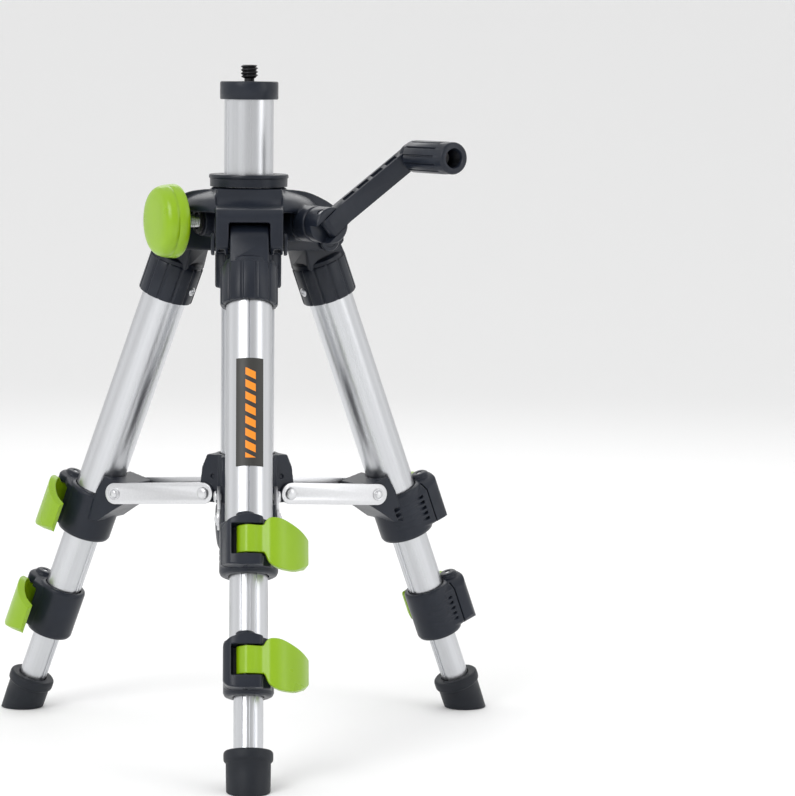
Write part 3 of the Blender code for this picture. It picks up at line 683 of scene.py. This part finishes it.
def knuckle(values):
    outer, top = values["outer"], -values["top"]
    made = fluted("knuckle_fine", outer, 8.7, 0.42, 12, -values["low"], top - 1.9, 0.7)
    outline = arc((0, 0), 7.4, -6, 186, 40) + [(-8.3, top - 2.5), (8.3, top - 2.5)]
    tongue = edged(moved(prism("tongue", outline, -7.0, 7.0), upright), 0.6)
    crown = lathe("crown", [(0, -9.6), (outer - 0.5, -9.6), (outer - 0.9, -7.6),
                            (outer - 2.2, -6.8), (0, -6.8)])
    return smooth(join(made, crown, tongue), 40)


perLeg(knuckle(sleeve), "knuckle_fine", "leg", darkPlastic, "dark_plastic", "knuckle")


def crossScrew(name):
    dome = flowing([(0.001, 0.85), (0.8, 0.75), (1.5, 0.45), (1.85, 0.0)], 4)
    screw = lathe(name, dome + [(1.85, -0.9), (0.001, -0.9)], 40)
    for degrees in (0, 90):
        cut(screw, moved(block("cross", (-1.15, 1.15), (-0.24, 0.24), (0.25, 2)), turn(degrees, "Z")))
    return screw


screwFine = moved(smooth(crossScrew("sleeve_screw")), shift(0, 10.15, -17.6) @ turn(-90, "X"))
perLeg(screwFine, "sleeve_screw", "leg", brightSteel, "bright_steel")

for leg, degrees in legTurns.items():
    half = [(0, 12.5), (3.9, 12.5), (4.1, 12.7), (4.1, 13.4),
            (3.7, 13.8), (2.6, 13.9), (2.3, 13.6), (0, 13.6)]
    pin = lathe(f"{leg}_hinge_pin_fine", half, 64)
    other = moved(lathe("other", half, 64), turn(180, "X"))
    join(pin, other, rod("middle", 1.7, -13, 13, 32))
    moved(pin, turn(90, "Y"))
    at = column @ turn(degrees, "Z") @ shift(0, -hinge["out"], hinge["up"])
    place(smooth(pin), at, "head", darkPlastic, "dark_plastic", f"{leg}_hinge_pin")

clamps = {
    "upper": {"span": (102.6, 123.0), "ring": 10.4, "bore": 8.65, "under": 7.1, "step": 113.3,
              "pin": 12.05, "body": "leg", "lug": True},
    "lower": {"span": (144.6, 166.0), "ring": 8.9, "bore": 7.05, "under": 5.5, "step": 155.7,
              "pin": 10.45, "body": "middle", "lug": False}}
lug = {"in": 13.2, "down": 99.0, "half": 9.6}
pinSide = -1.2


def clampBody(name, values):
    top, bottom = -values["span"][0], -values["span"][1]
    ring, pin = values["ring"], values["pin"]
    profile = [(0, bottom), (ring - 1.6, bottom), (ring - 0.5, bottom + 0.5),
               (ring, bottom + 1.6), (ring, top - 2.6)]
    profile += [(ring - 0.3, top - 1.7), (ring - 1.0, top - 1.4), (0, top - 1.4)]
    made = lathe(name, profile, 96)
    out = -pin - 3.9
    side = flowing([(-ring + 0.1, -2), (-ring + 0.3, -6), (-9.0, -10.5), (-7.6, out + 1.5), (-5.4, out + 0.3),
                    (-2, out), (2, out), (4.2, out + 0.5), (4.9, out + 1.6)])
    outline = side + [(5.0, -pin + 0.5), (7.6, -9.0), (ring - 0.6, -2)]
    arch = flowing([(-ring - 1, bottom + 5.5), (-ring + 1.2, bottom + 2.2), (-4, bottom + 1.2),
                    (3, bottom + 1.2), (9, bottom + 1.8)])
    arch += flowing([(9, top - 3.0), (4.6, top - 1.9), (1, top - 1.2), (-3.2, top - 1.6),
                     (-7.2, top - 3.0), (-ring - 1, top - 6.4)])
    housing = prism("housing", outline, bottom, top)
    join(made, combine(housing, "INTERSECT", moved(prism("arch", arch, -30, 30), turn(90, "X"))))
    boss = lathe("boss", [(0, bottom + 4), (3.4, bottom + 4), (3.4, top - 0.6), (2.6, top), (0, top)], 48)
    join(made, moved(boss, shift(pinSide, -pin + 0.1, 0)))
    middle = (top + bottom) / 2 + 0.3
    tools = [block("window", (-6.2, 16), (-30, -pin + 3.55), (middle - 5.4, middle + 5.4))]
    tools.append(block("slit", (-ring - 3, -5.6), (-pin + 3.2, -pin + 3.7), (bottom - 2, top - 2.4)))
    tools.append(moved(rod("pin_hole", 0.95, bottom - 2, top + 2, 32), shift(pinSide, -pin, 0)))
    for row in range(5):
        z = bottom + 5.5 + row * 2.2
        groove = lathe("groove", [(ring - 0.12, z - 0.35), (ring + 2, z - 0.9),
                                  (ring + 2, z + 0.9), (ring - 0.12, z + 0.35)])
        wedge = block("keep", (-ring - 3, -ring * 0.35), (-ring * 0.55, ring * 0.75), (z - 2, z + 2))
        tools.append(combine(groove, "INTERSECT", wedge))
    if values["lug"]:
        x, y = -lug["in"], -lug["down"]
        outline = [(-5.5, bottom + 9), (-9.4, bottom + 10.5), (x - 0.4, y - 7.5), (x - 4.4, y - 2.4)]
        outline += [(x - 4.3, y + 1.4), (x - 2.6, y + 4.6), (-5.9, y + 3.6), (-4.6, y - 3)]
        join(made, moved(prism("lug", outline, -lug["half"], lug["half"]), upright))
        tools.append(moved(rod("rivet_hole", 1.55, -14, 14, 32), shift(0, -x, y) @ turn(90, "Y")))
    tools.append(rod("upper_bore", values["bore"], -values["step"], top + 14, 96))
    tools.append(rod("lower_bore", values["under"], bottom - 2, -values["step"] + 1, 96))
    cut(made, *tools)
    return moulded(made, 0.24, 3, 0.4)


for title, values in clamps.items():
    clamp, body = f"{title}_clamp", values["body"]
    made = clampBody(f"{clamp}_fine", values)
    perLeg(made, f"{clamp}_fine", body, darkPlastic, "dark_plastic", clamp)
    pinTop, pinLow = -values["span"][0] - 0.35, -values["span"][1] + 2.6
    leverPin = rod(f"{title}_lever_pin", 0.9, pinLow, pinTop, 32)
    smooth(moved(leverPin, shift(pinSide, -values["pin"], 0)))
    perLeg(leverPin, f"{title}_lever_pin", body, brightSteel, "bright_steel")
print("clamps made")


def lever(name, pin):
    crest = pin + 3.4
    outside = flowing([(-2.9, crest - 0.7), (-0.8, crest + 0.4), (1.4, crest + 0.1), (4.2, crest - 0.6),
                       (7.6, crest + 0.3), (11, crest - 0.5), (14.2, crest - 2.4), (17.4, crest - 5.4),
                       (19.6, crest - 9.1), (21.05, crest - 13.6)])
    inside = flowing([(19.1, crest - 14.0), (17.8, crest - 10.3), (15.6, crest - 7.1), (12.9, crest - 4.7),
                      (9.9, crest - 3.0), (6.9, crest - 2.2), (4.6, crest - 2.7)])
    outline = arc((0, 0), 3.2, 25, 222, 36) + [(x - pinSide, pin - out) for x, out in outside + inside]
    made = prism(name, outline, -12, 12)
    leaf = flowing([(6.3, 5.9), (7.0, 7.2), (8.4, 8.3), (11.5, 8.4), (14.5, 7.5), (18.5, 5.6), (21.6, 3.7)])
    leaf += flowing([(22.6, 2.9), (23.6, 1.6), (24.0, 0.0), (23.9, -1.8), (23.0, -4.4), (20.6, -7.4),
                     (17.3, -9.5), (13.6, -9.8), (10.4, -9.1), (8.0, -7.2), (7.0, -5.0), (6.4, -3.9)])
    face = moved(prism("leaf", [(-5, -3.9), (-5, 5.9)] + leaf, -20, 20), turn(90, "X"))
    combine(made, "INTERSECT", face)
    cut(made, rod("pin_bore", 1.05, -14, 14, 32))
    return moulded(made, 0.22, 4, 0.4)


for title, values in clamps.items():
    top, bottom = values["span"]
    made = lever(f"{title}_lever_fine", values["pin"])
    moved(made, shift(pinSide, -values["pin"], -(top + bottom) / 2 - 0.7))
    perLeg(made, f"{title}_lever_fine", f"{title}_lever", greenPlastic, "green_plastic", f"{title}_lever")
print("levers made")


def foot():
    rim, body, top = 8.68, 7.8, -184.7
    side = [(body - 0.5, -215), (body, top - 9), (body + 0.05, top - 4.4)]
    side += flowing([(body + 0.35, top - 4.0), (rim - 0.1, top - 3.4), (rim, top - 2.2),
                     (rim - 0.1, top - 0.7), (rim - 0.7, top)])
    made = lathe("foot_fine", [(0, -215)] + side + [(5.5, top), (5.5, -190.4), (0, -190.4)])
    depth = hinge["up"] / math.cos(math.radians(legTilt))
    ground = moved(block("ground", (-30, 30), (-30, 30), (-40, 0.02)), shift(0, 0, -depth) @ turn(legTilt, "X"))
    cut(made, ground)
    return edged(made, 0.6, 3, 42)


perLeg(foot(), "foot_fine", "lower", blackRubber, "rubber", "foot")
print("feet made")


# Spreader

hubPivot = (12.6, 90.9)


def spreaderHub():
    hub = lathe("spreader_hub_fine", [(10.3, 87.2), (11.9, 87.2), (11.9, 105.3), (11.4, 105.8), (10.3, 105.8)])
    ear = [(4, 87.6), (13.4, 87.6), (14.9, 89.0), (15.2, 92.2),
           (14.4, 96), (13.9, 100.5), (11.7, 105.5), (4, 105.5)]
    for degrees in legTurns.values():
        join(hub, moved(prism("ear", ear, -9.6, 9.6), radial(degrees)))
    tools = [rod("bore", 10.3, 85, 108, 96)]
    for degrees in legTurns.values():
        across = turn(degrees, "Z") @ shift(0, -hubPivot[0], hubPivot[1]) @ turn(90, "Y")
        tools.append(moved(rod("rivet_hole", 1.55, -14, 14, 32), across))
        for side in (-1, 1):
            beside = turn(degrees, "Z") @ shift(0, -9.2, 97.4) @ turn(90 * side, "Y")
            tools.append(moved(rod("dimple", 0.9, 8.9, 12, 24), beside))
    cut(hub, *tools)
    return moulded(hub, 0.28, 3, 0.4)


place(spreaderHub(), column, "hub", darkPlastic, "dark_plastic", "spreader_hub")


def bar(name, side, reach):
    outline = arc((0, 0), 4.0, 90, 270, 32) + arc((reach, 0), 4.0, -90, 90, 32)
    inner, outer = sorted((side * 9.9, side * 11.1))
    made = prism(name, outline, inner, outer)
    ring = [(1.3, 10.6), (2.35, 10.6), (2.35, 11.35), (2.1, 11.6), (1.75, 11.55), (1.55, 11.35)]
    head = ring + flowing([(1.45, 11.6), (1.1, 11.95), (0.5, 12.1), (0.001, 12.12)], 4) + [(0.001, 10.6)]
    rivet = lathe("rivet", head, 48)
    if side < 0:
        moved(rivet, turn(180, "X"))
    cut(made, rod("hole", 1.55, -20, 20, 32))
    edged(made, 0.22, 2)
    join(made, moved(rivet, shift(reach, 0, 0)))
    return smooth(made, 35)


tilt = math.radians(legTilt)
lugOut = hinge["out"] + lug["down"] * math.sin(tilt) - lug["in"] * math.cos(tilt)
lugUp = hinge["up"] - lug["down"] * math.cos(tilt) - lug["in"] * math.sin(tilt)
reach = math.hypot(lugOut - hubPivot[0], lugUp - hubPivot[1])
slope = math.degrees(math.atan2(lugUp - hubPivot[1], lugOut - hubPivot[0]))
barMeshes = {"a": bar("bar_a_fine", 1, reach), "b": bar("bar_b_fine", -1, reach)}
headLine = [(0, 11.45), (2.2, 11.45), (2.2, 11.75)]
headLine += flowing([(2.05, 12.0), (1.5, 12.3), (0.8, 12.45), (0.0, 12.5)], 4)
otherHead = moved(lathe("other", headLine, 48), turn(180, "X"))
hubRivet = join(lathe("hub_rivet_fine", headLine, 48), otherHead, rod("shank", 1.2, -12, 12, 32))
hubEdge = {leg: column @ turn(legTurns[leg], "Z") @ shift(0, -hubPivot[0], hubPivot[1]) for leg in legTurns}
for letter, made in barMeshes.items():
    for leg, piece in perLegNames(made, f"bar_{letter}_fine").items():
        at = hubEdge[leg] @ upright @ turn(slope, "Z")
        place(piece, at, f"{leg}_bars", brightSteel, "bright_steel", f"{leg}_bar_{letter}")
for leg, piece in perLegNames(smooth(hubRivet), "hub_rivet_fine").items():
    at = hubEdge[leg] @ turn(90, "Y")
    place(piece, at, "hub", brightSteel, "bright_steel", f"{leg}_hub_rivet")
print("spreader made")


# Sticker on the front leg

sticker = {
    "from": -33.0, "to": 36.0, "top": -45.2, "bottom": -84.8, "radius": 8.4,
    "ground": (0.028, 0.027, 0.024), "print": (0.90, 0.27, 0.01)}


def stickerFinish(values):
    made, tree, shader = newMaterial("printed sticker", {"specular": 0.5})
    spot = tree.nodes.new("ShaderNodeTexCoord")
    parts = tree.nodes.new("ShaderNodeSeparateXYZ")
    tree.links.new(spot.outputs["Generated"], parts.inputs["Vector"])

    def maths(kind, *terms):
        node = tree.nodes.new("ShaderNodeMath")
        node.operation = kind
        for index, value in enumerate(terms):
            if isinstance(value, (int, float)):
                node.inputs[index].default_value = value
            else:
                tree.links.new(value, node.inputs[index])
        return node.outputs["Value"]

    # A row of leaning blocks down the middle of the sticker.
    wide, tall = parts.outputs["X"], parts.outputs["Z"]
    lean = maths("ADD", maths("MULTIPLY", tall, 9.0), maths("MULTIPLY", wide, 1.1))
    inBlock = maths("LESS_THAN", maths("FRACT", lean), 0.62)
    inColumn = maths("LESS_THAN", maths("ABSOLUTE", maths("SUBTRACT", wide, 0.53)), 0.19)
    inRow = maths("LESS_THAN", maths("ABSOLUTE", maths("SUBTRACT", tall, 0.5)), 0.41)
    mask = maths("MULTIPLY", inBlock, maths("MULTIPLY", inColumn, inRow))
    mix = tree.nodes.new("ShaderNodeMix")
    mix.data_type = "RGBA"
    mix.inputs["A"].default_value = (*values["ground"], 1)
    mix.inputs["B"].default_value = (*values["print"], 1)
    tree.links.new(mask, mix.inputs["Factor"])
    tree.links.new(mix.outputs["Result"], shader.inputs["Base Color"])
    grain = tree.nodes.new("ShaderNodeGroup")
    grain.node_tree = grainGroup
    tree.links.new(ranged(tree, grain.outputs["Drift"], 0.42, 0.52), shader.inputs["Roughness"])
    return made


def stickerPatch(values):
    mesh = bmesh.new()
    columns, rows = 28, 12
    layers = []
    for lift in (0.04, 0.14):
        grid = []
        for row in range(rows + 1):
            z = values["bottom"] + (values["top"] - values["bottom"]) * row / rows
            line = []
            for step in range(columns + 1):
                angle = math.radians(-90 + values["from"] + (values["to"] - values["from"]) * step / columns)
                line.append(mesh.verts.new(around(values["radius"] + lift, angle, z)))
            grid.append(line)
        layers.append(grid)
    for grid in layers:
        for row in range(rows):
            for step in range(columns):
                corners = ((row, step), (row, step + 1), (row + 1, step + 1), (row + 1, step))
                mesh.faces.new([grid[down][along] for down, along in corners])
    back, front = layers
    for row in range(rows):
        for step in (0, columns):
            mesh.faces.new((back[row][step], front[row][step], front[row + 1][step], back[row + 1][step]))
    for step in range(columns):
        for row in (0, rows):
            mesh.faces.new((back[row][step], front[row][step], front[row][step + 1], back[row][step + 1]))
    return smooth(newObject("leg_sticker", mesh))


place(stickerPatch(sticker), legPlace("front"), "front_leg", stickerFinish(sticker), "dark_plastic")
print("sticker made")

# Pieces of the frame that stay as they are get the fine finishes too.
finishes = {
    "aluminium": aluminium, "bright_steel": brightSteel, "black_steel": blackSteel,
    "dark_plastic": darkPlastic, "green_plastic": greenPlastic, "rubber": blackRubber}
for entry in frame["record"]["subparts"]:
    node = frame["nodes"].get(entry["node"])
    if node and not node.hide_render:
        node.data.materials.clear()
        node.data.materials.append(finishes[entry["material_slot"]])


# Room, light and camera

studio = {
    "floor": 0.97, "bendFrom": 1.4, "bend": 1.2, "front": 0.58, "back": 1.06,
    "key": 4.6, "fill": 1.2, "rim": 1.8}


def sweep(start, bend):
    # Floor that curves up behind the object.
    mesh = bmesh.new()
    line = [(-3.0, 0.0)] + arc((start, bend), bend, -90, 0, 24) + [(start + bend, 4.0)]
    sides = [[mesh.verts.new((x, y, z - 0.0002)) for y, z in line] for x in (-4, 4)]
    for step in range(len(line) - 1):
        mesh.faces.new((sides[0][step], sides[1][step], sides[1][step + 1], sides[0][step + 1]))
    made = newObject("floor", mesh)
    made.data.shade_smooth()
    return made


floor = sweep(studio["bendFrom"], studio["bend"])
floorFinish, floorTree, floorShader = newMaterial("pale floor", {"specular": 0.2})
floorShader.inputs["Base Color"].default_value = (studio["floor"], studio["floor"], studio["floor"], 1)
floorShader.inputs["Roughness"].default_value = 0.9
floor.data.materials.append(floorFinish)

world = bpy.data.worlds.new("soft room")
bpy.context.scene.world = world
world.use_nodes = True
sky = world.node_tree
direction = sky.nodes.new("ShaderNodeTexCoord")
split = sky.nodes.new("ShaderNodeSeparateXYZ")
fade = sky.nodes.new("ShaderNodeMapRange")
fade.inputs["From Min"].default_value = -1.0
fade.inputs["From Max"].default_value = 0.2
fade.inputs["To Min"].default_value = studio["front"]
fade.inputs["To Max"].default_value = studio["back"]
sky.links.new(direction.outputs["Generated"], split.inputs["Vector"])
sky.links.new(split.outputs["Y"], fade.inputs["Value"])
sky.links.new(fade.outputs["Result"], sky.nodes["Background"].inputs["Strength"])
sky.nodes["Background"].inputs["Color"].default_value = (1, 1, 1, 1)


def softLight(name, spot, aim, size, power):
    data = bpy.data.lights.new(name, "AREA")
    data.shape = "RECTANGLE"
    data.size, data.size_y = size
    data.energy = power
    made = bpy.data.objects.new(name, data)
    made.location = spot
    made.rotation_euler = (Vector(aim) - Vector(spot)).to_track_quat("-Z", "Y").to_euler()
    bpy.context.scene.collection.objects.link(made)


softLight("key", (-0.55, -0.75, 0.75), (0, 0, 0.13), (0.5, 0.7), studio["key"])
softLight("fill", (0.75, -0.45, 0.45), (0, 0, 0.13), (0.35, 0.8), studio["fill"])
softLight("rim", (0.1, 0.8, 0.7), (0, 0, 0.15), (0.9, 0.4), studio["rim"])

lens = {
    "away": 1.2, "up": 0.25109, "sensor": 36.0, "length": 146.834717, "shift": 0.06201258,
    "yaw": 1.789, "pitch": 5.925, "roll": 0.526, "turn": -0.626}
camera = bpy.data.cameras.new("camera")
camera.sensor_fit = "HORIZONTAL"
camera.sensor_width = lens["sensor"]
camera.lens = lens["length"]
camera.shift_x = lens["shift"]
camera.clip_end = 50
cameraObject = bpy.data.objects.new("camera", camera)
bpy.context.scene.collection.objects.link(cameraObject)
aim = turn(-lens["yaw"], "Z") @ turn(90 - lens["pitch"], "X") @ turn(lens["roll"], "Z")
station = column @ turn(lens["turn"], "Z") @ Matrix.Translation((0, -lens["away"], lens["up"]))
cameraObject.matrix_world = station @ aim
bpy.context.scene.camera = cameraObject
bpy.context.scene.view_settings.view_transform = "Standard"
